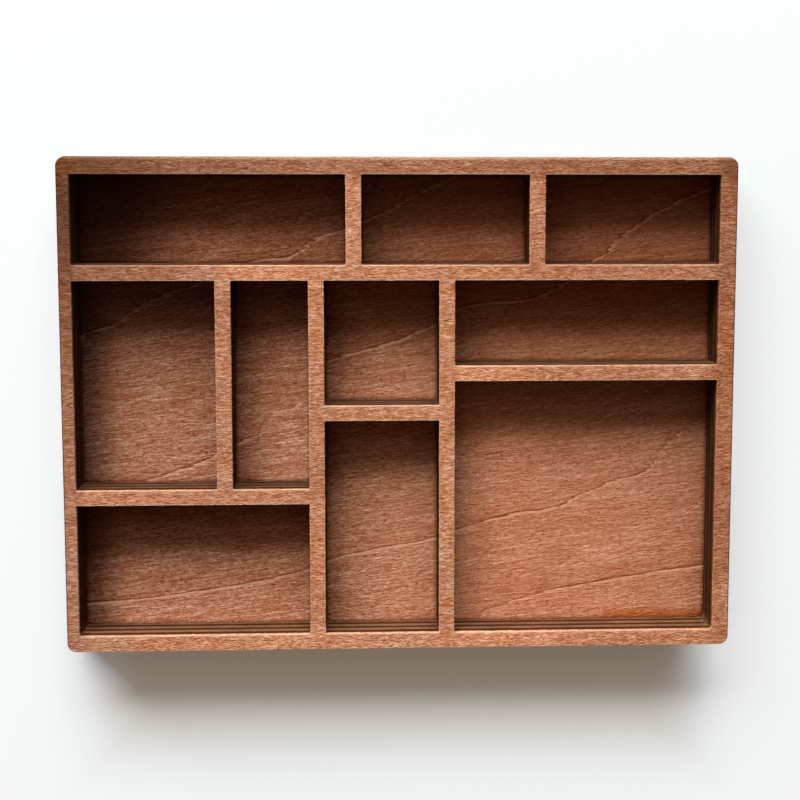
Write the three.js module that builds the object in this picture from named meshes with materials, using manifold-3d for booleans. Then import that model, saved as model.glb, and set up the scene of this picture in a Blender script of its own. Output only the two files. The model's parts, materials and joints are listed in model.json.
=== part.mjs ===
// Divided specimen display box: three plywood sheets, each cut into one lattice of rails,
// are stacked and glued on a thin plywood base panel.
// Millimetres, +Z up, +X along the long side, +Y towards the row of three compartments.
// The origin is the centre of the underside.

import * as THREE from "three";
import { mergeVertices } from "three/addons/utils/BufferGeometryUtils.js";
import Module from "manifold-3d";

// Clear widths of the columns and of the first two compartments of the back row, along X
const LEFT_COLUMN = 62.2;
const NARROW_COLUMN = 33.8;
const CENTRE_COLUMN = 50.9;
const RIGHT_COLUMN = 118.0;
const BACK_LEFT_WIDTH = 120.0;
const BACK_MIDDLE_WIDTH = 74.2;

// Clear depths of the rows, along Y
const BACK_ROW = 39.3;
const LEFT_REAR_ROW = 93.0;
const LEFT_FRONT_ROW = 59.2;
const CENTRE_REAR_ROW = 55.4;
const RIGHT_REAR_ROW = 37.7;

// Widths of the rails, seen from above
const LEFT_WALL = 5.7;
const RIGHT_WALL = 7.5;
const BACK_WALL = 7.8;
const FRONT_WALL = 7.6;
const DIVIDER = 7.3;

// Plies of a lattice sheet and of the base panel, and the glue line left open between plies and boards
const SHEET_VENEER = 1.35;
const SHEET_CORE = 2.6;
const BASE_VENEER = 0.6;
const BASE_CORE = 1.6;
const GLUE_LINE = 0.1;

// Rounding of the outer corners, of the window corners and of the rim's arrises
const OUTER_CORNER = 4.0;
const WINDOW_CORNER = 0.5;
const EASED_ARRIS = 0.6;
const OUTER_CORNER_STEPS = 6;
const WINDOW_CORNER_STEPS = 2;
const ARRIS_STEPS = 2;

const VENEER_COLOUR = 0x9c6046;
const CORE_COLOUR = 0x4c2d20;
const FLOOR_COLOUR = 0x8e553e;
const WOOD_ROUGHNESS = 0.7;

// Overall length along X and width along Y
const COLUMNS = LEFT_COLUMN + NARROW_COLUMN + CENTRE_COLUMN + RIGHT_COLUMN;
const ROWS = LEFT_FRONT_ROW + LEFT_REAR_ROW + BACK_ROW;
const LENGTH = LEFT_WALL + COLUMNS + 3 * DIVIDER + RIGHT_WALL;
const WIDTH = FRONT_WALL + ROWS + 2 * DIVIDER + BACK_WALL;

const manifold = await Module();
manifold.setup();

// Inner faces of the four outer walls
const left = -LENGTH / 2 + LEFT_WALL;
const right = LENGTH / 2 - RIGHT_WALL;
const back = WIDTH / 2 - BACK_WALL;
const front = -WIDTH / 2 + FRONT_WALL;

// Each upright by its left face, each cross rail by its rear face
const backUprightA = left + BACK_LEFT_WIDTH;
const backUprightB = backUprightA + DIVIDER + BACK_MIDDLE_WIDTH;
const uprightA = left + LEFT_COLUMN;
const uprightB = uprightA + DIVIDER + NARROW_COLUMN;
const uprightC = uprightB + DIVIDER + CENTRE_COLUMN;
const longCross = back - BACK_ROW;
const rear = longCross - DIVIDER;
const leftCross = rear - LEFT_REAR_ROW;
const centreCross = rear - CENTRE_REAR_ROW;
const rightCross = rear - RIGHT_REAR_ROW;

// The ten compartments: x from and to, y from and to
const compartments = [
  [left, backUprightA, longCross, back],
  [backUprightA + DIVIDER, backUprightB, longCross, back],
  [backUprightB + DIVIDER, right, longCross, back],
  [left, uprightA, leftCross, rear],
  [uprightA + DIVIDER, uprightB, leftCross, rear],
  [left, uprightB, front, leftCross - DIVIDER],
  [uprightB + DIVIDER, uprightC, centreCross, rear],
  [uprightB + DIVIDER, uprightC, front, centreCross - DIVIDER],
  [uprightC + DIVIDER, right, rightCross, rear],
  [uprightC + DIVIDER, right, front, rightCross - DIVIDER],
];

// Points of a rectangle with round corners, anticlockwise
function roundedRectangle([xLow, xHigh, yLow, yHigh], radius, steps) {
  const corners = [
    [xHigh - radius, yLow + radius],
    [xHigh - radius, yHigh - radius],
    [xLow + radius, yHigh - radius],
    [xLow + radius, yLow + radius],
  ];
  return corners.flatMap(([x, y], corner) =>
    Array.from({ length: steps + 1 }, (_, step) => {
      const angle = (corner - 1 + step / steps) * (Math.PI / 2);
      return new THREE.Vector2(x + radius * Math.cos(angle), y + radius * Math.sin(angle));
    }),
  );
}

function panelShape() {
  const outline = [-LENGTH / 2, LENGTH / 2, -WIDTH / 2, WIDTH / 2];
  return new THREE.Shape(roundedRectangle(outline, OUTER_CORNER, OUTER_CORNER_STEPS));
}

function latticeShape() {
  const shape = panelShape();
  for (const compartment of compartments) {
    shape.holes.push(new THREE.Path(roundedRectangle(compartment, WINDOW_CORNER, WINDOW_CORNER_STEPS)));
  }
  return shape;
}

function flatPly(shape, thickness) {
  return new THREE.ExtrudeGeometry(shape, { depth: thickness, bevelEnabled: false });
}

function toSolid(geometry) {
  const bare = geometry.clone();
  bare.deleteAttribute("normal");
  bare.deleteAttribute("uv");
  const merged = mergeVertices(bare);
  return new manifold.Manifold(
    new manifold.Mesh({
      numProp: 3,
      vertProperties: new Float32Array(merged.attributes.position.array),
      triVerts: new Uint32Array(merged.index.array),
    }),
  );
}

function toGeometry(solid) {
  const mesh = solid.getMesh();
  const geometry = new THREE.BufferGeometry();
  geometry.setAttribute("position", new THREE.BufferAttribute(mesh.vertProperties, 3));
  geometry.setIndex(new THREE.BufferAttribute(mesh.triVerts, 1));
  geometry.computeVertexNormals();
  return geometry;
}

// A ply with every upper arris rounded: a ply of twice the thickness, rounded above and below,
// loses its lower half
function easedPly(shape, thickness) {
  const rounded = new THREE.ExtrudeGeometry(shape, {
    depth: 2 * (thickness - EASED_ARRIS),
    bevelThickness: EASED_ARRIS,
    bevelSize: EASED_ARRIS,
    bevelOffset: -EASED_ARRIS,
    bevelSegments: ARRIS_STEPS,
  });
  rounded.translate(0, 0, EASED_ARRIS - thickness);
  const lowerHalf = new THREE.BoxGeometry(2 * LENGTH, 2 * WIDTH, 2 * thickness);
  lowerHalf.translate(0, 0, -thickness);
  return toGeometry(toSolid(rounded).subtract(toSolid(lowerHalf)));
}

function ply(name, geometry, colour, height) {
  const material = new THREE.MeshStandardMaterial({ color: colour, roughness: WOOD_ROUGHNESS, metalness: 0 });
  const mesh = new THREE.Mesh(geometry, material);
  mesh.name = name;
  mesh.position.z = height;
  return mesh;
}

// Three plies, from the back veneer up to the face veneer
function board(name, shape, veneer, core, faceColour, facePly) {
  const group = new THREE.Group();
  const coreHeight = veneer + GLUE_LINE;
  const faceHeight = coreHeight + core + GLUE_LINE;
  group.add(ply(`${name}_back_veneer`, flatPly(shape, veneer), VENEER_COLOUR, 0));
  group.add(ply(`${name}_cross_core`, flatPly(shape, core), CORE_COLOUR, coreHeight));
  group.add(ply(`${name}_face_veneer`, facePly(shape, veneer), faceColour, faceHeight));
  return group;
}

const BASE_THICKNESS = 2 * BASE_VENEER + BASE_CORE + 2 * GLUE_LINE;
const SHEET_THICKNESS = 2 * SHEET_VENEER + SHEET_CORE + 2 * GLUE_LINE;

const displayBox = new THREE.Group();
displayBox.add(board("base", panelShape(), BASE_VENEER, BASE_CORE, FLOOR_COLOUR, flatPly));
["bottom_sheet", "middle_sheet", "top_sheet"].forEach((name, level) => {
  const facePly = name === "top_sheet" ? easedPly : flatPly;
  const sheet = board(name, latticeShape(), SHEET_VENEER, SHEET_CORE, VENEER_COLOUR, facePly);
  sheet.position.z = BASE_THICKNESS + GLUE_LINE + level * (SHEET_THICKNESS + GLUE_LINE);
  displayBox.add(sheet);
});

export default displayBox;
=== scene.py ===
# Looks of the divided specimen display box: three stained plywood sheets, each cut into one lattice
# of rails, stacked on a plywood base. Metres, in the frame of the solid model: +X along the long side,
# +Y towards the row of three compartments, +Z up.

import json
import math
from typing import NamedTuple

import bpy
from mathutils import Matrix, Vector, geometry, noise


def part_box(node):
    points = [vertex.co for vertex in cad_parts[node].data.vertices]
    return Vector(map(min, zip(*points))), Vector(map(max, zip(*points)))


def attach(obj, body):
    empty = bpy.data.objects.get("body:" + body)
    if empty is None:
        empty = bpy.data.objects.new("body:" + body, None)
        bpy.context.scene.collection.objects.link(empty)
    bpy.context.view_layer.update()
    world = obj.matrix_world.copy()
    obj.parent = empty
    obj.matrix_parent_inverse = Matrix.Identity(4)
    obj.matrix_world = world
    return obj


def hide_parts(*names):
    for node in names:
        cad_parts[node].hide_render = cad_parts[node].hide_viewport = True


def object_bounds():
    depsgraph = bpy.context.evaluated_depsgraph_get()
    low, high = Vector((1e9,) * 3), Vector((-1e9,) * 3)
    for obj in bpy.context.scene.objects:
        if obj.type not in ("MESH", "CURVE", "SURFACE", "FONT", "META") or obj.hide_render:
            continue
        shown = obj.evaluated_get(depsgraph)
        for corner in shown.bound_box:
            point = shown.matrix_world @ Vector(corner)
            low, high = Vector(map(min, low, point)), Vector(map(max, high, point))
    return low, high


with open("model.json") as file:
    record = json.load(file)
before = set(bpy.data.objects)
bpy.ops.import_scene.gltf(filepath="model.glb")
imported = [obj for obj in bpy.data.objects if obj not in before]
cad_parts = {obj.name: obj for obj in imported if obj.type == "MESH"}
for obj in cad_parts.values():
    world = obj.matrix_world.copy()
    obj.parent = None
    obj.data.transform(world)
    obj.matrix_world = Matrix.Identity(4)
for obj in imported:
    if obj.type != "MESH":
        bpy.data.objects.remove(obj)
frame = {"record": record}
cad_low, cad_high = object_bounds()

MM = 0.001
WHITE = (1.0, 1.0, 1.0, 1.0)


class Grain(NamedTuple):
    """Streaks along the fibres: their length and width in millimetres, their seed, how fine and how wavy
    they are, and the levels that the darkest and the palest of them give."""
    length: float
    width: float
    seed: float
    detail: float = 2.0
    waves: float = 0.0
    dark: float = 1.0
    pale: float = 1.0


class StainAndPaintedLight(NamedTuple):
    """The tint that the wood is multiplied by, a stain in some lists and painted light and shade in others,
    and the stretches along X and along Y, in millimetres, over which it comes in and, where four values are
    given, goes out again."""
    tint: tuple
    x: tuple = ()
    y: tuple = ()


class GrowthLine(NamedTuple):
    """A growth line: its width as a multiple of the thinnest one, how pale its lip is, partly a painted
    highlight, and the points that it passes, in millimetres."""
    width: float
    pale: float
    points: list


class RubAndSheen(NamedTuple):
    """Rubbing and painted sheen of an arris, by the side that it faces: the grey and the pale that it gives
    are partly from rubbing and partly a painted sheen of the light. Up to GREYED it greys the wood, beyond
    that it turns the wood pale, and below none the wood is scorched."""
    back: float
    front: float
    side: float


# Shape of the cut edges
OPENING_CLEARANCE = 0.3 * MM
GLUE_FILL = 0.04 * MM
OUTER_CORNER = 4.0 * MM
WINDOW_CORNER = 0.5 * MM
LIT_ARRIS = 0.65 * MM
SHARP_ARRIS = 0.22 * MM
OUTER_BACK_ARRIS = 1.3 * MM
ARRIS_HEIGHT = 0.45 * MM
ARRIS_STEPS = 5
LIT_SET_BACK = 0.25 * MM
RIM_SUPPORT = 0.45 * MM
BASE_ARRIS = 0.5 * MM
PLY_LIP = 0.12 * MM
CORE_RECESS = 0.05 * MM
RIM_POINT_STEP = 0.45 * MM
WALL_POINT_STEP = 1.5 * MM
CORNER_STEPS = 6

# Raggedness of a cut edge: across the fibres the ends fray, along the fibres the edge waves gently, and
# the walls and the outside are smoother than the rim's window edges
FRAY_PITCH = 0.85 * MM
FRAY_DEPTH = 0.34 * MM
WAVE_PITCH = 4.0 * MM
WAVE_DEPTH = 0.10 * MM
RIM_FRAY_SHARE = 1.0
WALL_FRAY_SHARE = 0.35
OUTER_FRAY_SHARE = 0.3

# The front right corner of the large compartment, where the cut rounds more from sheet to sheet
CUT_CORNER = {"top_sheet": 1.2 * MM, "middle_sheet": 2.2 * MM, "bottom_sheet": 3.0 * MM}

# Rubbing and painted sheen along the rim's arrises, held on the rings of points that lie on the round
WEAR_AND_SHEEN = "wear"
RINGS_OF_WEAR_AND_SHEEN = range(3, ARRIS_STEPS + 2)
WINDOW_RUB_AND_SHEEN = RubAndSheen(back=0.4, front=0.9, side=0.22)
OUTER_RUB_AND_SHEEN = RubAndSheen(back=0.7, front=0.3, side=-0.9)
GREYED = 0.5

# Camera: place, the point on the table that it aims at, focal length in pixels of the 800 pixel frame,
# and the frame's offset from the optical axis as shares of its width
CAMERA_PLACE = Vector((-15.7, 85.0, 596.2)) * MM
CAMERA_AIM = Vector((7.7, 27.7, 0.0)) * MM
FRAME_PIXELS = 800
FOCAL_PIXELS = 1303.9
SENSOR_WIDTH = 36.0
CAMERA_SHIFT = (-0.020, -0.074)
NEAREST_SEEN = 0.01

# Light: a wide window beyond the back wall with some sky above it, low fills at the other sides, each by
# its azimuth in degrees and its level, and a warm room
WINDOW_AZIMUTH = math.radians(-14)
WINDOW_DISTANCE = 3.5
WINDOW_SIZE = (4.4, 1.7)
WINDOW_ELEVATION = math.radians(22)
WINDOW_LEVEL = 1.14
SKY_ELEVATION = math.radians(46)
SKY_LEVEL = 0.09
FILL_ELEVATION = math.radians(2)
FILL_DISTANCE = 2.5
FILL_SIZE = (2.0, 0.12)
FILLS = {"right_fill": (90, 0.12), "front_fill": (180, 0.4), "left_fill": (270, 0.5)}
ROOM_COLOUR = (1.0, 0.52, 0.31, 1.0)
ROOM_LEVEL = 0.078

# Table: white, with painted light that lifts it a little and warmly in the shadow before the box, more and
# coolly beside the shadow, and not where it meets the box, white far away; before the box its colour is a
# little darker, a painted shade. The stretches are in millimetres: away from the middle of the shadow,
# outside the box, before the box, and from the origin
TABLE_SIZE = 9.0
TABLE_COLOUR = (0.86, 0.91, 0.93, 1.0)
TABLE_SHADE_COLOUR = (0.81, 0.855, 0.83, 1.0)
TABLE_LIFT_COLOUR = (1.0, 0.82, 0.60, 1.0)
TABLE_LIFT = 0.137
TABLE_SIDE_COLOUR = (0.97, 0.985, 0.98, 1.0)
TABLE_SIDE_LIFT = 0.62
SHADOW_MIDDLE, SHADOW_NARROWER = -115, 85
SIDE_STRETCH = (120, 165)
WARM_STRETCH = (145, 120)
SHADE_STRETCH = (130, 112)
CONTACT_MIDDLE = -6
CONTACT_SIDE_STRETCH = (132, 158)
OUTSIDE_STRETCH = (0.5, 6.0)
BEFORE_STRETCH = (-3, 1, 4, 30)
FAR_STRETCH = (400, 1600)


def srgb(red, green, blue):
    """A colour given as 0 to 255 display values, as the linear colour that a shader takes."""
    def linear(value):
        share = value / 255
        return share / 12.92 if share <= 0.04045 else ((share + 0.055) / 1.055) ** 2.4
    return (linear(red), linear(green), linear(blue), 1.0)


# Wood colours
RIM_COLOUR = srgb(195, 135, 98)
RIM_ROSY = srgb(193, 135, 104)
# Grey and pale of the arrises: partly rubbing, partly a painted sheen
RIM_GREYED = srgb(182, 151, 127)
RIM_PALE = srgb(250, 208, 180)
FLOOR_COLOUR = srgb(200, 135, 101)
FLOOR_PALE = srgb(238, 184, 148)
FLOOR_ORANGE = srgb(182, 102, 47)
VENEER_LONG_EDGE = srgb(82, 58, 41)
CORE_LONG_EDGE = srgb(63, 39, 25)
END_EDGE = srgb(47, 22, 9)
SCORCHED = srgb(58, 32, 19)
UNDERSIDE_COLOUR = srgb(170, 112, 80)

# Where the stain is deeper, green and blue fall faster than red
GREEN_DEPTH = 1.75
BLUE_DEPTH = 2.45

# Noise: the values that are stretched to the full contrast, and where pores and dark lines begin
STREAK_RANGE = (0.3, 0.7)
PORE_RANGE = (0.62, 0.74)
LINE_RANGE = (0.64, 0.73)
NOISE_ROUGHNESS = 0.55
SEED_STEP = Vector((1.0, 2.3, 3.7))
PORE_LEVEL = 0.76
PORE_DEPTH = 0.4

# Roughness, gloss as specular level, and depth of the relief of each surface
RIM_FINISH = (0.62, 0.08, 0.30 * MM)
FLOOR_FINISH = (0.60, 0.04, 0.22 * MM)
EDGE_FINISH = (0.75, 0.02, 0.012 * MM)
UNDERSIDE_FINISH = (0.70, 0.04, 0.014 * MM)
TABLE_FINISH = (0.90, 0.08)

# The rim
RIM_RELIEF = Grain(2.6, 0.85, 1.3, waves=0.7)
RIM_PORES = Grain(1.5, 0.5, 12.9, detail=0.0)
RIM_LINES = Grain(6.0, 0.5, 27.7, detail=1.0, waves=0.9)
RIM_LINE_LEVEL = 0.74
RIM_SHADES = [
    Grain(2.2, 0.62, 3.1, waves=0.6, dark=0.71, pale=1.25),
    Grain(7.0, 1.5, 5.1, waves=0.6, dark=0.86, pale=1.13),
    Grain(22.0, 16.0, 9.7, dark=0.94, pale=1.06),
]
RIM_ROSE = Grain(14.0, 8.0, 15.1)
RIM_PATCHES = Grain(1.2, 1.2, 18.3, dark=0.35, pale=1.0)

# Stains of the rim, rail by rail, after those that lie over several rails
FRONT_RAIL, BACK_RAIL, SECOND_RAIL = (-98, -104), (98, 104), (50, 55, 65, 70)
LEFT_RAIL, RIGHT_RAIL = (-139, -145), (137, 143)
RIM_STAINS = [
    StainAndPaintedLight((0.39, 0.35, 0.32), x=(-40, -150), y=(0, 105)),
    StainAndPaintedLight((0.82, 0.77, 0.73), x=(0, 90), y=(-25, 45)),
    StainAndPaintedLight((1.10, 1.10, 1.10), y=FRONT_RAIL),
    StainAndPaintedLight((0.87, 0.88, 0.90), x=(-112, -135), y=FRONT_RAIL),
    StainAndPaintedLight((1.00, 1.10, 1.15), x=(-146, -140, -130, -118), y=FRONT_RAIL),
    StainAndPaintedLight((1.11, 1.09, 1.07), x=(5, 25, 62, 80), y=FRONT_RAIL),
    StainAndPaintedLight((0.89, 0.84, 0.75), x=(120, 130, 138, 142), y=FRONT_RAIL),
    StainAndPaintedLight((0.74, 0.72, 0.70), y=BACK_RAIL),
    StainAndPaintedLight((0.86, 0.85, 0.84), x=(20, -40), y=BACK_RAIL),
    StainAndPaintedLight((1.16, 1.13, 1.12), x=(-75, -92), y=BACK_RAIL),
    StainAndPaintedLight((1.85, 1.75, 1.40), x=LEFT_RAIL, y=BACK_RAIL),
    StainAndPaintedLight((0.80, 0.82, 0.86), x=LEFT_RAIL),
    StainAndPaintedLight((0.71, 0.66, 0.61), x=LEFT_RAIL, y=(-60, 40)),
    StainAndPaintedLight((1.20, 1.18, 1.15), x=LEFT_RAIL, y=(38, 46, 62, 68)),
    StainAndPaintedLight((0.89, 0.83, 0.78), x=LEFT_RAIL, y=(68, 76, 92, 98)),
    StainAndPaintedLight((0.75, 0.67, 0.61), x=RIGHT_RAIL),
    StainAndPaintedLight((1.20, 1.26, 1.25), x=RIGHT_RAIL, y=(-104, -98, -86, -76)),
    StainAndPaintedLight((0.91, 0.91, 0.91), x=RIGHT_RAIL, y=(-20, -32, -68, -80)),
    StainAndPaintedLight((1.13, 1.14, 1.15), x=RIGHT_RAIL, y=(14, 26, 42, 54)),
    StainAndPaintedLight((0.99, 1.07, 1.12), x=RIGHT_RAIL, y=(55, 65)),
    StainAndPaintedLight((0.86, 0.84, 0.82), x=(-80, -105), y=SECOND_RAIL),
    StainAndPaintedLight((1.14, 1.12, 1.09), x=(-92, -72, -42, -32), y=SECOND_RAIL),
    StainAndPaintedLight((1.15, 1.12, 1.09), x=(24, 27, 45, 70), y=(6, 10, 20, 24)),
    StainAndPaintedLight((0.88, 0.89, 0.90), x=(-92, -84, -73, -65), y=(-46, -38, 56, 62)),
    StainAndPaintedLight((0.91, 0.92, 0.93), x=(-45, -40, -30, -25), y=(-52, -38, 15, 35)),
]

# The floor, whose fibres are turned a little; its figure is stronger towards the left
FLOOR_TILT = math.radians(7)
FLOOR_RELIEF = Grain(3.4, 1.0, 2.9, waves=0.5)
FLOOR_PORES = Grain(2.2, 0.55, 17.7, detail=0.0)
FLOOR_LINES = Grain(9.0, 0.5, 23.7, detail=1.0, waves=0.8)
FLOOR_LINE_LEVEL = 0.82
FLOOR_SHADES = [
    Grain(3.1, 0.75, 4.3, waves=0.5, dark=0.83, pale=1.15),
    Grain(1.0, 0.75, 5.9, detail=1.0, dark=0.90, pale=1.09),
    Grain(15.0, 0.9, 6.3, waves=0.9, dark=0.86, pale=1.13),
    Grain(36.0, 5.0, 7.7, waves=1.2, dark=0.94, pale=1.06),
]
FLOOR_BROAD = Grain(50.0, 40.0, 8.1, dark=0.96, pale=1.04)
FIGURE_STRETCH = (25, -40)
FIGURE_DEPTH = 1.4

# Tints of the floor: broad ones; painted shade along the left foot of a compartment and over the back left
# compartment; a lighter and a darker patch in the large compartment; and along the back foot of a
# compartment, painted light that lifts the shade, but painted shade in the front left one
FLOOR_TINTS_AND_PAINTED_LIGHT = [
    StainAndPaintedLight((0.58, 0.51, 0.47), y=(-20, 50)),
    StainAndPaintedLight((1.00, 1.06, 1.09), x=(30, 8)),
    StainAndPaintedLight((0.76, 0.77, 0.81), x=(-35, -88), y=(-110, -40, 50, 62)),
    # Painted shade: the back left compartment darker towards its left wall
    StainAndPaintedLight((0.17, 0.13, 0.11), x=(-82, -128), y=(50, 62)),
    # Painted shade along the left foot of the compartments below it
    StainAndPaintedLight((0.40, 0.37, 0.36), x=(-124, -143), y=(62, 50)),
    # Painted shade along the left foot of the narrow compartment
    StainAndPaintedLight((0.74, 0.71, 0.69), x=(-62, -73, -78, -80), y=(-44, -38, 56, 62)),
    # Painted shade along the left foot of the back middle compartment
    StainAndPaintedLight((0.70, 0.67, 0.65), x=(-22, -33, -38, -40), y=(62, 56)),
    StainAndPaintedLight((1.14, 1.13, 1.12), x=(26, 32, 45, 75), y=(12, 4)),
    StainAndPaintedLight((0.82, 0.81, 0.80), x=(85, 140), y=(15, 5)),
    # Painted light that lifts the shade along the back foot of the large compartment
    StainAndPaintedLight((1.12, 1.25, 1.40), x=(24, 27), y=(-8, 2, 11, 16)),
    # Painted light that lifts the shade along the back foot of the middle row, right of the narrow
    # compartment
    StainAndPaintedLight((1.32, 1.28, 1.20), x=(-36, -32), y=(42, 50, 56, 60)),
    # Painted shade along the back foot of the front left compartment
    StainAndPaintedLight((0.80, 0.77, 0.65), x=(-36, -42), y=(-58, -50, -44, -40)),
]

# Along the foot of each wall the floor is darker by ambient occlusion: painted shade, with the stain that
# pools there
FOOT_STAIN_AND_SHADE = (0.40, 0.32, 0.27, 1.0)
FOOT_REACH = 2.4 * MM
FOOT_SAMPLES = 8
FOOT_RANGE = (1.0, 0.5)

# Varnish spilt along the front wall of the large compartment, with a ragged edge, in millimetres
SPILL_X = (88, 98)
SPILL_Y = (-97.4, -100.0)
SPILL_EDGE = Grain(5.0, 1.2, 41.9, detail=3.0)
SPILL_RAGGED_X, SPILL_RAGGED_Y = 12.0, 2.0
SPILL_SHARE = 0.85

# Growth lines of the floor veneer, from front to back: behind each lies a dark groove, its colour partly
# painted shade, and a darker band, before it a pale lip, partly a painted highlight, in millimetres from the
# line, and the fibres shift the line to and fro
FLOOR_LEFT, FLOOR_RIGHT = -150.0, 150.0
FLOOR_FRONT, FLOOR_BACK = -120.0, 120.0
LINE_GROOVE, LINE_GROOVE_LEVEL, LINE_GROOVE_DEPTH = (-0.1, 0.2, 0.4, 0.9), 0.69, 0.5
LINE_BAND, LINE_BAND_LEVEL = (-0.1, 0.2, 0.4, 11.0), 0.92
LINE_LIP_HIGHLIGHT = (-1.4, -0.4, -0.2, 0.05)
LINE_STRENGTH = Grain(25.0, 30.0, 37.9, dark=0.75, pale=1.0)
LINE_SLIP = Grain(14.0, 1.5, 31.3)
LINE_SLIP_REACH = 6.0
GROWTH_LINES = [
    GrowthLine(1.0, 0.55, [(-150, -112), (20, -108), (36, -102), (43, -98), (69, -90), (97, -85),
                           (143, -78)]),
    GrowthLine(1.0, 0.60, [(-141, -93), (-92, -88), (-42, -78), (-32, -74), (19, -63), (28, -60), (52, -53),
                           (72, -50), (93, -40), (117, -31), (123, -22), (133, -14), (143, -7)]),
    GrowthLine(1.1, 0.55, [(-150, -44), (-119, -37), (-104, -32), (-84, -25), (-74, -19), (-63, -14),
                           (-58, -5), (-47, -2), (-30, 20), (-19, 23), (-2, 28), (18, 37), (28, 43),
                           (65, 49), (88, 64), (115, 85), (138, 96)]),
    GrowthLine(1.1, 0.50, [(-150, 24), (-139, 33), (-129, 36), (-121, 42), (-104, 50), (-96, 53),
                           (-64, 65), (-48, 67), (-39, 74), (-25, 79), (0, 90), (14, 98), (60, 115)]),
]

# Cut edges: where a surface has turned from its face to its edge, and painted light that makes the inner
# front and right walls paler, as they face the window
EDGE_TURN = (0.05, 0.45)
END_TURN = (0.3, 0.7)
EDGE_FIBRES = Grain(1.6, 0.3, 3.3, detail=3.0, dark=0.78, pale=1.20)
EDGE_BROAD = Grain(14.0, 6.0, 4.7, dark=0.85, pale=1.15)
EDGE_PAINTED_LIGHT = [
    StainAndPaintedLight((1.60, 1.55, 1.50), y=(-98, -102, -105, -107)),
    StainAndPaintedLight((1.35, 1.50, 1.42), x=(139, 141, 144, 146)),
]

# The underside
UNDERSIDE_FIBRES = Grain(5.0, 0.5, 21.1, detail=3.0, waves=0.3, dark=0.85, pale=1.15)
UNDERSIDE_BANDS = Grain(30.0, 3.0, 25.3, waves=0.8, dark=0.82, pale=1.10)


# Shapes

def rounded_loop(low, high, radii, step):
    """Points round a rectangle, anticlockwise from its front right corner, each with its outward normal."""
    turns = [
        (high[0], low[1], -1, 1),
        (high[0], high[1], -1, -1),
        (low[0], high[1], 1, -1),
        (low[0], low[1], 1, 1),
    ]
    arcs = []
    for turn, (x, y, inward_x, inward_y) in enumerate(turns):
        radius = radii[turn]
        centre = Vector((x + inward_x * radius, y + inward_y * radius))
        arc = []
        for part in range(CORNER_STEPS + 1):
            angle = (turn - 1 + part / CORNER_STEPS) * math.pi / 2
            normal = Vector((math.cos(angle), math.sin(angle)))
            arc.append((centre + radius * normal, normal))
        arcs.append(arc)
    loop = []
    for turn, arc in enumerate(arcs):
        loop += arc
        start, normal = arc[-1]
        end = arcs[(turn + 1) % len(arcs)][0][0]
        count = max(1, round((end - start).length / step))
        loop += [(start.lerp(end, part / count), normal) for part in range(1, count)]
    return loop


def fray(point, into_wood, share, level):
    """How far the cut edge is worn back into the wood at a point."""
    across = noise.noise(Vector((level, point.x / WAVE_PITCH, point.y / FRAY_PITCH)))
    along = noise.noise(Vector((point.x / WAVE_PITCH, point.y / WAVE_PITCH, level)))
    fray_depth = abs(into_wood.x) * FRAY_DEPTH * (0.5 + 0.5 * across)
    wave_depth = abs(into_wood.y) * WAVE_DEPTH * (0.5 + 0.5 * along)
    return share * (fray_depth + wave_depth)


def windows():
    """Low and high corners of the ten compartments, from the openings of the record."""
    found = []
    for opening in frame["record"]["physics"]["openings"]:
        low, high = opening["box_m"]
        low_corner = (low[0] - OPENING_CLEARANCE, low[1] - OPENING_CLEARANCE)
        high_corner = (high[0] + OPENING_CLEARANCE, high[1] + OPENING_CLEARANCE)
        found.append((low_corner, high_corner))
    return found


def area(window):
    """Area of a window given by its low and high corners."""
    (x_low, y_low), (x_high, y_high) = window
    return (x_high - x_low) * (y_high - y_low)


def outline(step):
    """The box's outline, as points with the direction into the wood."""
    loop = rounded_loop(cad_low, cad_high, [OUTER_CORNER] * 4, step)
    return [(point, -normal) for point, normal in loop]


def lattice(step, cut_corner):
    """The outline and the ten windows, as loops of points with the direction into the wood."""
    openings = windows()
    largest = max(openings, key=area)
    loops = [outline(step)]
    for window in openings:
        front_right = cut_corner if window is largest else WINDOW_CORNER
        radii = [front_right, WINDOW_CORNER, WINDOW_CORNER, WINDOW_CORNER]
        loops.append(rounded_loop(*window, radii, step))
    return loops


def rim_profile(low, high, point, into_wood):
    """Depth into the wood and height, up the rim ply. Where its upper arris faces back it is rounder, and
    at a window it is also set back there."""
    facing_back = max(0.0, -into_wood.y) ** 2
    outer = point.y > cad_high.y - OUTER_CORNER
    set_back = 0.0 if outer else facing_back * LIT_SET_BACK
    depth = SHARP_ARRIS + facing_back * ((OUTER_BACK_ARRIS if outer else LIT_ARRIS) - SHARP_ARRIS)
    height = min(depth, ARRIS_HEIGHT)
    rings = [(set_back, low), (set_back, high - height)]
    for part in range(1, ARRIS_STEPS + 1):
        angle = part / ARRIS_STEPS * math.pi / 2
        rings.append((set_back + depth * (1 - math.cos(angle)), high - height * (1 - math.sin(angle))))
    rings.append((set_back + depth + RIM_SUPPORT, high))
    return rings


def veneer_profile(low, high, point, into_wood):
    """Up a veneer between two other plies: its lips are worn a little where the glue lines are."""
    return [(PLY_LIP, low), (0.0, low + PLY_LIP), (0.0, high - PLY_LIP), (PLY_LIP, high)]


def core_profile(low, high, point, into_wood):
    """Up a core, which lies a little deeper than the veneers."""
    return [(CORE_RECESS + depth, height) for depth, height in veneer_profile(low, high, point, into_wood)]


def foot_profile(low, high, point, into_wood):
    """Up the lowest ply, whose lower arris is round."""
    rings = [(BASE_ARRIS + RIM_SUPPORT, low)]
    for part in range(ARRIS_STEPS + 1):
        angle = part / ARRIS_STEPS * math.pi / 2
        rings.append((BASE_ARRIS * (1 - math.sin(angle)), low + BASE_ARRIS * (1 - math.cos(angle))))
    rings.append((0.0, high))
    return rings


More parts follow.
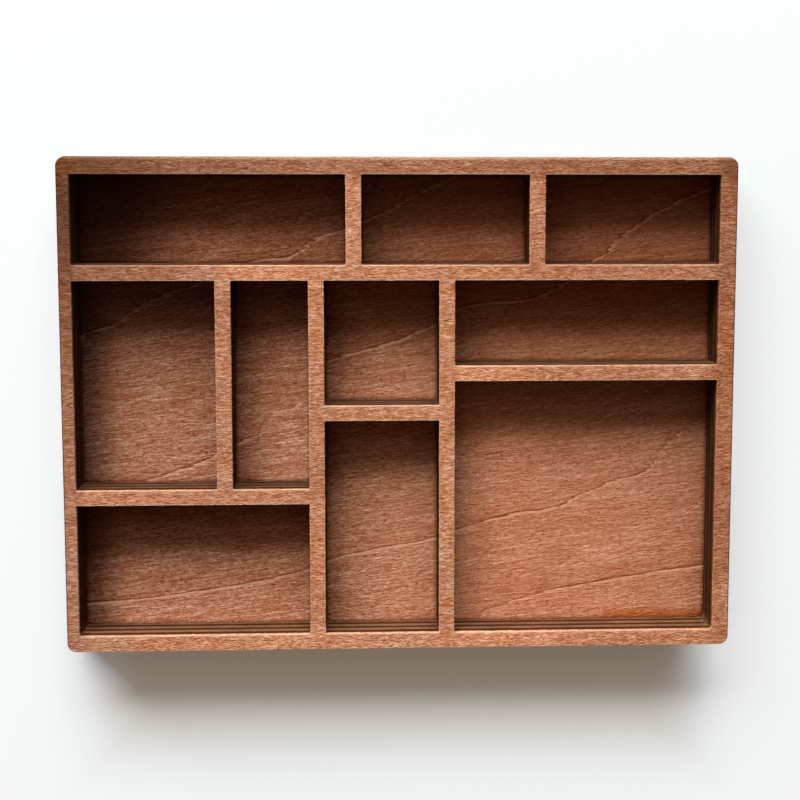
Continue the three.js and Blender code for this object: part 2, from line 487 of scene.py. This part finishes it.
def ring_points(loops, levels, profile, fray_share):
    """The rings of points that the loops make when they are carried up the profile."""
    low, high = levels
    columns = []
    for number, loop in enumerate(loops):
        share = fray_share if number else fray_share * OUTER_FRAY_SHARE
        for point, into_wood in loop:
            worn = fray(point, into_wood, share, low / MM)
            column = []
            for depth, height in profile(low, high, point, into_wood):
                place = point + (depth + worn) * into_wood
                column.append(Vector((place.x, place.y, height)))
            columns.append(column)
    return list(zip(*columns))


def wall_faces(counts, ring_size, ring_count):
    """Faces between each ring and the next, loop by loop."""
    faces = []
    for ring in range(ring_count - 1):
        start = ring * ring_size
        for count in counts:
            for corner in range(count):
                here = start + corner
                beside = start + (corner + 1) % count
                faces.append((here, beside, beside + ring_size, here + ring_size))
            start += count
    return faces


def cap_faces(ring, counts, start, facing_up):
    """Triangles that close one ring, whose points are numbered from a start."""
    loops = []
    first = 0
    for count in counts:
        loops.append(ring[first:first + count])
        first += count
    faces = []
    for a, b, c in geometry.tessellate_polygon(loops):
        turned_up = (ring[b] - ring[a]).cross(ring[c] - ring[a]).z > 0
        corners = (a, b, c) if turned_up == facing_up else (a, c, b)
        faces.append(tuple(start + corner for corner in corners))
    return faces


def ply_piece(name, loops, levels, profile, fray_share):
    """A closed ply: the loops carried up the profile, with a flat cap above and below."""
    counts = [len(loop) for loop in loops]
    rings = ring_points(loops, levels, profile, fray_share)
    ring_size = len(rings[0])
    walls = wall_faces(counts, ring_size, len(rings))
    smooth_count = len(walls) - (ring_size if profile is rim_profile else 0)
    bottom = cap_faces(rings[0], counts, 0, False)
    top = cap_faces(rings[-1], counts, ring_size * (len(rings) - 1), True)
    faces = walls + bottom + top
    mesh = bpy.data.meshes.new(name)
    mesh.from_pydata([point for ring in rings for point in ring], [], faces)
    mesh.polygons.foreach_set("use_smooth", [index < smooth_count for index in range(len(faces))])
    mesh.update()
    piece = bpy.data.objects.new(name, mesh)
    bpy.context.scene.collection.objects.link(piece)
    return piece


def rub_and_sheen(piece, loops):
    """Marks the rim's arrises with how much they are rubbed and how much painted sheen they have."""
    marks = []
    for number, loop in enumerate(loops):
        wear = WINDOW_RUB_AND_SHEEN if number else OUTER_RUB_AND_SHEEN
        for point, into_wood in loop:
            facing_back = max(0.0, -into_wood.y)
            facing_front = max(0.0, into_wood.y)
            facing_side = abs(into_wood.x)
            marks.append(wear.back * facing_back + wear.front * facing_front + wear.side * facing_side)
    values = [0.0] * len(piece.data.vertices)
    for ring in RINGS_OF_WEAR_AND_SHEEN:
        values[ring * len(marks):(ring + 1) * len(marks)] = marks
    piece.data.attributes.new(WEAR_AND_SHEEN, "FLOAT", "POINT").data.foreach_set("value", values)


# Materials

# Sockets of a colour mix by their numbers, because its sockets for numbers and vectors have the same names
MIX_FACTOR, MIX_FIRST, MIX_SECOND, MIXED = 0, 6, 7, 2


def feed(tree, socket, value):
    """Links a socket to another one, or sets its value."""
    if isinstance(value, bpy.types.NodeSocket):
        tree.links.new(value, socket)
    else:
        socket.default_value = value


def add_node(tree, kind, inputs=(), **settings):
    """A new node with its settings made and its inputs fed."""
    made = tree.nodes.new(kind)
    for key, value in settings.items():
        setattr(made, key, value)
    for socket, value in dict(inputs).items():
        feed(tree, made.inputs[socket], value)
    return made


def seen(tree):
    """One for what the camera sees directly, in a gloss or through a clear surface."""
    path = add_node(tree, "ShaderNodeLightPath")
    total = path.outputs["Is Camera Ray"]
    for name in ("Is Glossy Ray", "Is Transmission Ray"):
        inputs = {0: total, 1: path.outputs[name]}
        total = add_node(tree, "ShaderNodeMath", inputs, operation="MAXIMUM").outputs[0]
    return total


class Look:
    """The node tree of one material, built by short calls. Its x and y are places in millimetres."""

    def __init__(self, name, roughness, gloss):
        self.material = bpy.data.materials.new(name)
        self.material.use_nodes = True
        self.tree = self.material.node_tree
        self.shader = self.tree.nodes["Principled BSDF"]
        self.shader.inputs["Roughness"].default_value = roughness
        self.shader.inputs["Specular IOR Level"].default_value = gloss
        self.place = self.node("ShaderNodeTexCoord").outputs["Object"]
        self.x, self.y = self.split(self.scaled(self.place, 1 / MM))[:2]
        self.normal = self.split(self.node("ShaderNodeNewGeometry").outputs["Normal"])

    def node(self, kind, inputs=(), **settings):
        return add_node(self.tree, kind, inputs, **settings)

    def split(self, vector):
        return self.node("ShaderNodeSeparateXYZ", {"Vector": vector}).outputs[:]

    def calc(self, operation, first, second=0.0):
        return self.node("ShaderNodeMath", {0: first, 1: second}, operation=operation).outputs[0]

    def chain(self, operation, values):
        """One operation carried through a list of values."""
        total = values[0]
        for value in values[1:]:
            total = self.calc(operation, total, value)
        return total

    def remap(self, value, low, high, new_low=0.0, new_high=1.0):
        """A soft step between two values."""
        inputs = {"Value": value, "From Min": low, "From Max": high, "To Min": new_low, "To Max": new_high}
        return self.node("ShaderNodeMapRange", inputs, interpolation_type="SMOOTHSTEP").outputs["Result"]

    def ramp(self, value, low, high, new_low, new_high):
        """A straight line through two values."""
        inputs = {"Value": value, "From Min": low, "From Max": high, "To Min": new_low, "To Max": new_high}
        return self.node("ShaderNodeMapRange", inputs, clamp=False).outputs["Result"]

    def stretch(self, value, limits):
        """Comes in from none to one over two limits, and goes out again over two more."""
        share = self.remap(value, *limits[:2])
        if len(limits) == 4:
            share = self.calc("MULTIPLY", share, self.remap(value, *limits[2:], 1.0, 0.0))
        return share

    def streaks(self, grain, tilt=0.0):
        """Noise drawn out along the fibres, which run along X, turned by a tilt about Z."""
        size = Vector((1 / grain.length, 1 / grain.width, 1 / grain.width)) / MM
        inputs = {"Vector": self.place, "Rotation": (0.0, 0.0, -tilt)}
        turned = self.node("ShaderNodeMapping", inputs).outputs["Vector"]
        inputs = {"Vector": turned, "Scale": size, "Location": grain.seed * SEED_STEP}
        drawn = self.node("ShaderNodeMapping", inputs).outputs["Vector"]
        inputs = {
            "Vector": drawn,
            "Scale": 1.0,
            "Detail": grain.detail,
            "Roughness": NOISE_ROUGHNESS,
            "Distortion": grain.waves,
        }
        return self.node("ShaderNodeTexNoise", inputs).outputs["Fac"]

    def shade(self, grain, tilt=0.0):
        """The level that a grain gives, from its darkest to its palest."""
        return self.remap(self.streaks(grain, tilt), *STREAK_RANGE, grain.dark, grain.pale)

    def darkened(self, share, level):
        """One where there is none of a share, and the level where there is all."""
        return self.ramp(share, 0.0, 1.0, 1.0, level)

    def mix(self, factor, first, second, blend="MIX"):
        inputs = {MIX_FACTOR: factor, MIX_FIRST: first, MIX_SECOND: second}
        return self.node("ShaderNodeMix", inputs, data_type="RGBA", blend_type=blend).outputs[MIXED]

    def scaled(self, vector, level):
        """A place or a colour multiplied by a level."""
        plain = isinstance(vector, tuple)
        inputs = {0: vector[:3] if plain else vector, "Scale": level}
        return self.node("ShaderNodeVectorMath", inputs, operation="SCALE").outputs["Vector"]

    def deepened(self, colour, level):
        """A colour made darker and redder, or paler, by a level that varies over the surface."""
        inputs = {
            "X": level,
            "Y": self.calc("POWER", level, GREEN_DEPTH),
            "Z": self.calc("POWER", level, BLUE_DEPTH),
        }
        tint = self.node("ShaderNodeCombineXYZ", inputs).outputs["Vector"]
        return self.node("ShaderNodeVectorMath", {0: colour, 1: tint}, operation="MULTIPLY").outputs["Vector"]

    def stained_and_painted_light(self, colour, stains):
        """A colour with the tints of a list at their places: stains, painted light and painted shade."""
        for stain in stains:
            places = ((self.x, stain.x), (self.y, stain.y))
            shares = [self.stretch(place, limits) for place, limits in places if limits]
            colour = self.mix(self.chain("MULTIPLY", shares), colour, (*stain.tint, 1.0), "MULTIPLY")
        return colour

    def faced(self, colour):
        """A colour on the face of a ply, and scorched wood where its cut edge shows."""
        upright = self.calc("ABSOLUTE", self.normal[2])
        return self.mix(self.remap(upright, *EDGE_TURN), SCORCHED, colour)

    def finish(self, colour, height, depth):
        """The material with a colour and with a relief of a depth."""
        feed(self.tree, self.shader.inputs["Base Color"], colour)
        bump = self.node("ShaderNodeBump", {"Height": height, "Strength": 1.0, "Distance": depth})
        feed(self.tree, self.shader.inputs["Normal"], bump.outputs["Normal"])
        return self.material


def rim_wood():
    """The face of the top sheet: short fibres, stains, and rubbed arrises with a painted sheen."""
    roughness, gloss, depth = RIM_FINISH
    look = Look("rim_wood", roughness, gloss)
    pits = look.remap(look.streaks(RIM_PORES), *PORE_RANGE)
    lines = look.remap(look.streaks(RIM_LINES), *LINE_RANGE)
    shades = [look.shade(grain) for grain in RIM_SHADES]
    shades += [look.darkened(pits, PORE_LEVEL), look.darkened(lines, RIM_LINE_LEVEL)]
    rosy = look.remap(look.streaks(RIM_ROSE), *STREAK_RANGE)
    colour = look.deepened(look.mix(rosy, RIM_COLOUR, RIM_ROSY), look.chain("MULTIPLY", shades))
    wear = look.node("ShaderNodeAttribute", attribute_name=WEAR_AND_SHEEN).outputs["Fac"]
    # Grey and pale along the arrises, partly rubbing and partly a painted sheen of the light
    worn = look.mix(look.remap(wear, GREYED, 1.0), RIM_GREYED, RIM_PALE)
    share = look.calc("MULTIPLY", look.remap(wear, 0.0, GREYED), look.shade(RIM_PATCHES))
    colour = look.stained_and_painted_light(look.mix(share, colour, worn), RIM_STAINS)
    colour = look.mix(look.remap(wear, 0.0, -1.0), colour, SCORCHED)
    height = look.calc("SUBTRACT", look.streaks(RIM_RELIEF), look.calc("MULTIPLY", pits, PORE_DEPTH))
    return look.finish(look.faced(colour), height, depth)


def behind_line(look, x, points):
    """How far a place lies behind one growth line, in millimetres."""
    curve = look.node("ShaderNodeFloatCurve", {"Value": look.ramp(x, FLOOR_LEFT, FLOOR_RIGHT, 0.0, 1.0)})
    drawn = curve.mapping.curves[0]
    spots = []
    for point_x, point_y in points:
        share_x = (point_x - FLOOR_LEFT) / (FLOOR_RIGHT - FLOOR_LEFT)
        share_y = (point_y - FLOOR_FRONT) / (FLOOR_BACK - FLOOR_FRONT)
        spots.append((share_x, share_y))
    drawn.points[0].location = spots[0]
    drawn.points[1].location = spots[-1]
    for spot in spots[1:-1]:
        drawn.points.new(*spot)
    curve.mapping.update()
    line = look.ramp(curve.outputs["Value"], 0.0, 1.0, FLOOR_FRONT, FLOOR_BACK)
    return look.calc("SUBTRACT", look.y, line)


def growth(look):
    """The grooves, with their painted shade, the lips, with their painted highlight, and the bands of all
    growth lines.
    """
    slip = look.ramp(look.streaks(LINE_SLIP, FLOOR_TILT), 0.0, 1.0, -LINE_SLIP_REACH, LINE_SLIP_REACH)
    grooves, lips, bands = [], [], []
    for line in GROWTH_LINES:
        behind = behind_line(look, look.calc("ADD", look.x, slip), line.points)
        behind = look.calc("DIVIDE", behind, line.width)
        grooves.append(look.stretch(behind, LINE_GROOVE))
        lips.append(look.calc("MULTIPLY", look.stretch(behind, LINE_LIP_HIGHLIGHT), line.pale))
        bands.append(look.stretch(behind, LINE_BAND))
    strength = look.shade(LINE_STRENGTH)
    groove = look.calc("MULTIPLY", look.chain("ADD", grooves), strength)
    lip = look.calc("MULTIPLY", look.chain("ADD", lips), strength)
    return groove, lip, look.chain("ADD", bands)


def spilt_varnish(look):
    """The share of varnish along the front wall of the large compartment."""
    ragged = look.streaks(SPILL_EDGE)
    x = look.calc("ADD", look.x, look.ramp(ragged, 0.0, 1.0, -SPILL_RAGGED_X, SPILL_RAGGED_X))
    y = look.calc("ADD", look.y, look.ramp(ragged, 0.0, 1.0, -SPILL_RAGGED_Y, SPILL_RAGGED_Y))
    return look.chain("MULTIPLY", [look.stretch(x, SPILL_X), look.stretch(y, SPILL_Y), SPILL_SHARE])


def floor_wood():
    """The face of the base panel: longer fibres, growth lines with painted shade and highlight, stains,
    painted light and shade, and spilt varnish.
    """
    roughness, gloss, depth = FLOOR_FINISH
    look = Look("floor_wood", roughness, gloss)
    pits = look.remap(look.streaks(FLOOR_PORES, FLOOR_TILT), *PORE_RANGE)
    lines = look.remap(look.streaks(FLOOR_LINES, FLOOR_TILT), *LINE_RANGE)
    groove, lip, band = growth(look)
    shades = [look.shade(grain, FLOOR_TILT) for grain in FLOOR_SHADES]
    shades += [look.darkened(pits, PORE_LEVEL), look.darkened(lines, FLOOR_LINE_LEVEL)]
    figure_depth = look.remap(look.x, *FIGURE_STRETCH, 1.0, FIGURE_DEPTH)
    levels = [
        look.calc("POWER", look.chain("MULTIPLY", shades), figure_depth),
        look.shade(FLOOR_BROAD),
        look.darkened(band, LINE_BAND_LEVEL),
        look.darkened(groove, LINE_GROOVE_LEVEL),
    ]
    colour = look.mix(spilt_varnish(look), FLOOR_COLOUR, FLOOR_ORANGE)
    colour = look.deepened(colour, look.chain("MULTIPLY", levels))
    # Stains, painted light and painted shade, by place
    colour = look.stained_and_painted_light(colour, FLOOR_TINTS_AND_PAINTED_LIGHT)
    # The pale lips go on after the tints, partly a painted highlight
    colour = look.mix(lip, colour, FLOOR_PALE)
    # Painted shade, with pooled stain, along the foot of each wall
    near = look.node("ShaderNodeAmbientOcclusion", {"Distance": FOOT_REACH}, samples=FOOT_SAMPLES)
    colour = look.mix(look.remap(near.outputs["AO"], *FOOT_RANGE), colour, FOOT_STAIN_AND_SHADE, "MULTIPLY")
    pit_depth = look.calc("MULTIPLY", pits, PORE_DEPTH)
    groove_depth = look.calc("MULTIPLY", groove, LINE_GROOVE_DEPTH)
    cuts = look.calc("ADD", pit_depth, groove_depth)
    height = look.calc("SUBTRACT", look.streaks(FLOOR_RELIEF, FLOOR_TILT), cuts)
    return look.finish(look.faced(colour), height, depth)


def edge_wood(name, facing_y, facing_x):
    """A cut edge: long grain shows paler, end grain has drunk more stain and scorched darker, and painted
    light makes the inner walls that face the window paler.
    """
    roughness, gloss, depth = EDGE_FINISH
    look = Look(name, roughness, gloss)
    sideways = look.calc("ABSOLUTE", look.normal[0])
    colour = look.mix(look.remap(sideways, *END_TURN), facing_y, facing_x)
    level = look.calc("MULTIPLY", look.shade(EDGE_FIBRES), look.shade(EDGE_BROAD))
    # Painted light on the inner front and right walls, which face the window
    colour = look.stained_and_painted_light(look.scaled(colour, level), EDGE_PAINTED_LIGHT)
    return look.finish(colour, look.streaks(EDGE_FIBRES), depth)


def underside_wood():
    """The back of the base panel."""
    roughness, gloss, depth = UNDERSIDE_FINISH
    look = Look("underside_wood", roughness, gloss)
    level = look.calc("MULTIPLY", look.shade(UNDERSIDE_FIBRES), look.shade(UNDERSIDE_BANDS))
    colour = look.faced(look.scaled(UNDERSIDE_COLOUR, level))
    return look.finish(colour, look.streaks(UNDERSIDE_FIBRES), depth)


# Pieces

def dress(piece, node, material):
    """Puts a piece in the place of a node of the solid model."""
    piece.data.materials.append(material)
    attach(piece, "root")
    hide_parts(node)


def heights(node, meets_below, meets_above):
    """The node's lowest and highest level, reaching into the glue lines where it meets another ply."""
    low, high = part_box(node)
    return (low.z - GLUE_FILL if meets_below else low.z, high.z + GLUE_FILL if meets_above else high.z)


def put_ply(name, node, loops, profile, material):
    """Makes a ply by its profile, and puts it in the place of a node of the solid model."""
    is_rim = profile is rim_profile
    levels = heights(node, profile is not foot_profile, not is_rim)
    piece = ply_piece(name, loops, levels, profile, RIM_FRAY_SHARE if is_rim else WALL_FRAY_SHARE)
    if is_rim:
        # The rim's arrises get their rubbing and their painted sheen
        rub_and_sheen(piece, loops)
    dress(piece, node, material)


rim_material = rim_wood()
floor_material = floor_wood()
veneer_edge = edge_wood("veneer_edge", VENEER_LONG_EDGE, END_EDGE)
core_edge = edge_wood("core_edge", END_EDGE, CORE_LONG_EDGE)
underside_material = underside_wood()

panel = [outline(WALL_POINT_STEP)]
put_ply("panel_underside_veneer", "base_back_veneer", panel, foot_profile, underside_material)
put_ply("panel_core", "base_cross_core", panel, core_profile, core_edge)
put_ply("panel_floor_veneer", "base_face_veneer", panel, veneer_profile, floor_material)

for sheet, cut_corner in CUT_CORNER.items():
    walls = lattice(WALL_POINT_STEP, cut_corner)
    put_ply(sheet + "_lower_ply", sheet + "_back_veneer", walls, veneer_profile, veneer_edge)
    put_ply(sheet + "_middle_ply", sheet + "_cross_core", walls, core_profile, core_edge)
    if sheet == "top_sheet":
        rim = lattice(RIM_POINT_STEP, cut_corner)
        put_ply("rim_ply", sheet + "_face_veneer", rim, rim_profile, rim_material)
    else:
        put_ply(sheet + "_upper_ply", sheet + "_face_veneer", walls, veneer_profile, veneer_edge)


# Table, light and camera

def painted_table_lift(look, away):
    """How much painted light lifts the table near the box, by how far a place lies away from the shadow's
    middle.
    """
    from_contact = look.calc("ABSOLUTE", look.calc("SUBTRACT", look.x, CONTACT_MIDDLE))
    before = look.calc("SUBTRACT", -cad_high.y / MM, look.y)
    contact = look.stretch(before, BEFORE_STRETCH)
    beside_contact = look.remap(from_contact, *CONTACT_SIDE_STRETCH)
    beside = look.ramp(contact, 0.0, 1.0, look.remap(away, *SIDE_STRETCH), beside_contact)
    past_end = look.calc("SUBTRACT", look.calc("ABSOLUTE", look.x), cad_high.x / MM)
    past_side = look.calc("SUBTRACT", look.calc("ABSOLUTE", look.y), cad_high.y / MM)
    outside = look.remap(look.calc("MAXIMUM", past_end, past_side), *OUTSIDE_STRETCH)
    return look.calc("MULTIPLY", outside, look.ramp(beside, 0.0, 1.0, TABLE_LIFT, TABLE_SIDE_LIFT))


def table_white():
    """White, with painted light where the camera sees it and a painted shade in its colour, by where it lies
    round the box.
    """
    look = Look("table_white", *TABLE_FINISH)
    sideways = look.calc("ABSOLUTE", look.x)
    from_middle = look.calc("ABSOLUTE", look.calc("SUBTRACT", look.y, SHADOW_MIDDLE))
    away = look.calc("MAXIMUM", sideways, look.calc("ADD", from_middle, SHADOW_NARROWER))
    # Painted shade: the table's colour a little darker before the box
    colour = look.mix(look.remap(away, *SHADE_STRETCH), TABLE_COLOUR, TABLE_SHADE_COLOUR)
    feed(look.tree, look.shader.inputs["Base Color"], colour)
    place = look.scaled(look.place, 1 / MM)
    distance = look.node("ShaderNodeVectorMath", {0: place}, operation="LENGTH").outputs["Value"]
    far = look.remap(distance, *FAR_STRETCH)
    near_tint = look.mix(look.remap(away, *WARM_STRETCH), TABLE_SIDE_COLOUR, TABLE_LIFT_COLOUR)
    glow = look.node("ShaderNodeEmission", {"Color": look.mix(far, near_tint, WHITE)})
    # Painted light that lifts the table's shadows, and white far away
    lift = look.calc("MAXIMUM", far, painted_table_lift(look, away))
    share = look.calc("MULTIPLY", seen(look.tree), lift)
    inputs = {0: share, 1: look.shader.outputs["BSDF"], 2: glow.outputs["Emission"]}
    blend = look.node("ShaderNodeMixShader", inputs)
    feed(look.tree, look.tree.nodes["Material Output"].inputs["Surface"], blend.outputs["Shader"])
    return look.material


def table():
    """The plain pale floor that the box stands on."""
    half = TABLE_SIZE / 2
    mesh = bpy.data.meshes.new("table")
    corners = [(-half, -half, 0.0), (half, -half, 0.0), (half, half, 0.0), (-half, half, 0.0)]
    mesh.from_pydata(corners, [], [(0, 1, 2, 3)])
    mesh.materials.append(table_white())
    top = bpy.data.objects.new("table", mesh)
    bpy.context.scene.collection.objects.link(top)


def area_light(name, azimuth, elevation, distance, size, level, facing_up):
    """A lamp that gives the level to a surface facing up, or else to one facing it."""
    direction = Vector((
        math.sin(azimuth) * math.cos(elevation),
        math.cos(azimuth) * math.cos(elevation),
        math.sin(elevation),
    ))
    data = bpy.data.lights.new(name, "AREA")
    data.shape = "RECTANGLE"
    data.size, data.size_y = size
    data.energy = level * (math.pi * distance) ** 2
    if facing_up:
        data.energy /= math.sin(elevation)
    lamp = bpy.data.objects.new(name, data)
    lamp.location = distance * direction
    lamp.rotation_euler = direction.to_track_quat("Z", "Y").to_euler()
    lamp.visible_camera = False
    bpy.context.scene.collection.objects.link(lamp)


def room():
    """A dim warm room, which shows white to the camera, in a gloss and through a clear surface."""
    world = bpy.data.worlds.new("room")
    bpy.context.scene.world = world
    world.use_nodes = True
    tree = world.node_tree
    dim = tree.nodes["Background"]
    dim.inputs["Color"].default_value = ROOM_COLOUR
    dim.inputs["Strength"].default_value = ROOM_LEVEL
    white = add_node(tree, "ShaderNodeBackground", {"Color": WHITE, "Strength": 1.0})
    inputs = {0: seen(tree), 1: dim.outputs["Background"], 2: white.outputs["Background"]}
    blend = add_node(tree, "ShaderNodeMixShader", inputs)
    feed(tree, tree.nodes["World Output"].inputs["Surface"], blend.outputs["Shader"])


def camera():
    """The camera at the photograph's viewing angle."""
    data = bpy.data.cameras.new("camera")
    data.sensor_width = SENSOR_WIDTH
    data.lens = FOCAL_PIXELS / FRAME_PIXELS * SENSOR_WIDTH
    data.shift_x, data.shift_y = CAMERA_SHIFT
    data.clip_start = NEAREST_SEEN
    eye = bpy.data.objects.new("camera", data)
    forward = (CAMERA_AIM - CAMERA_PLACE).normalized()
    right = forward.cross(Vector((0.0, 1.0, 0.0))).normalized()
    up = right.cross(forward)
    turn = Matrix((right, up, -forward)).transposed().to_4x4()
    eye.matrix_world = Matrix.Translation(CAMERA_PLACE) @ turn
    bpy.context.scene.collection.objects.link(eye)
    bpy.context.scene.camera = eye


table()
area_light("window", WINDOW_AZIMUTH, WINDOW_ELEVATION, WINDOW_DISTANCE, WINDOW_SIZE, WINDOW_LEVEL, True)
area_light("sky", WINDOW_AZIMUTH, SKY_ELEVATION, WINDOW_DISTANCE, WINDOW_SIZE, SKY_LEVEL, True)
for name, (azimuth, level) in FILLS.items():
    area_light(name, math.radians(azimuth), FILL_ELEVATION, FILL_DISTANCE, FILL_SIZE, level, False)
room()
camera()
bpy.context.scene.view_settings.view_transform = "Standard"
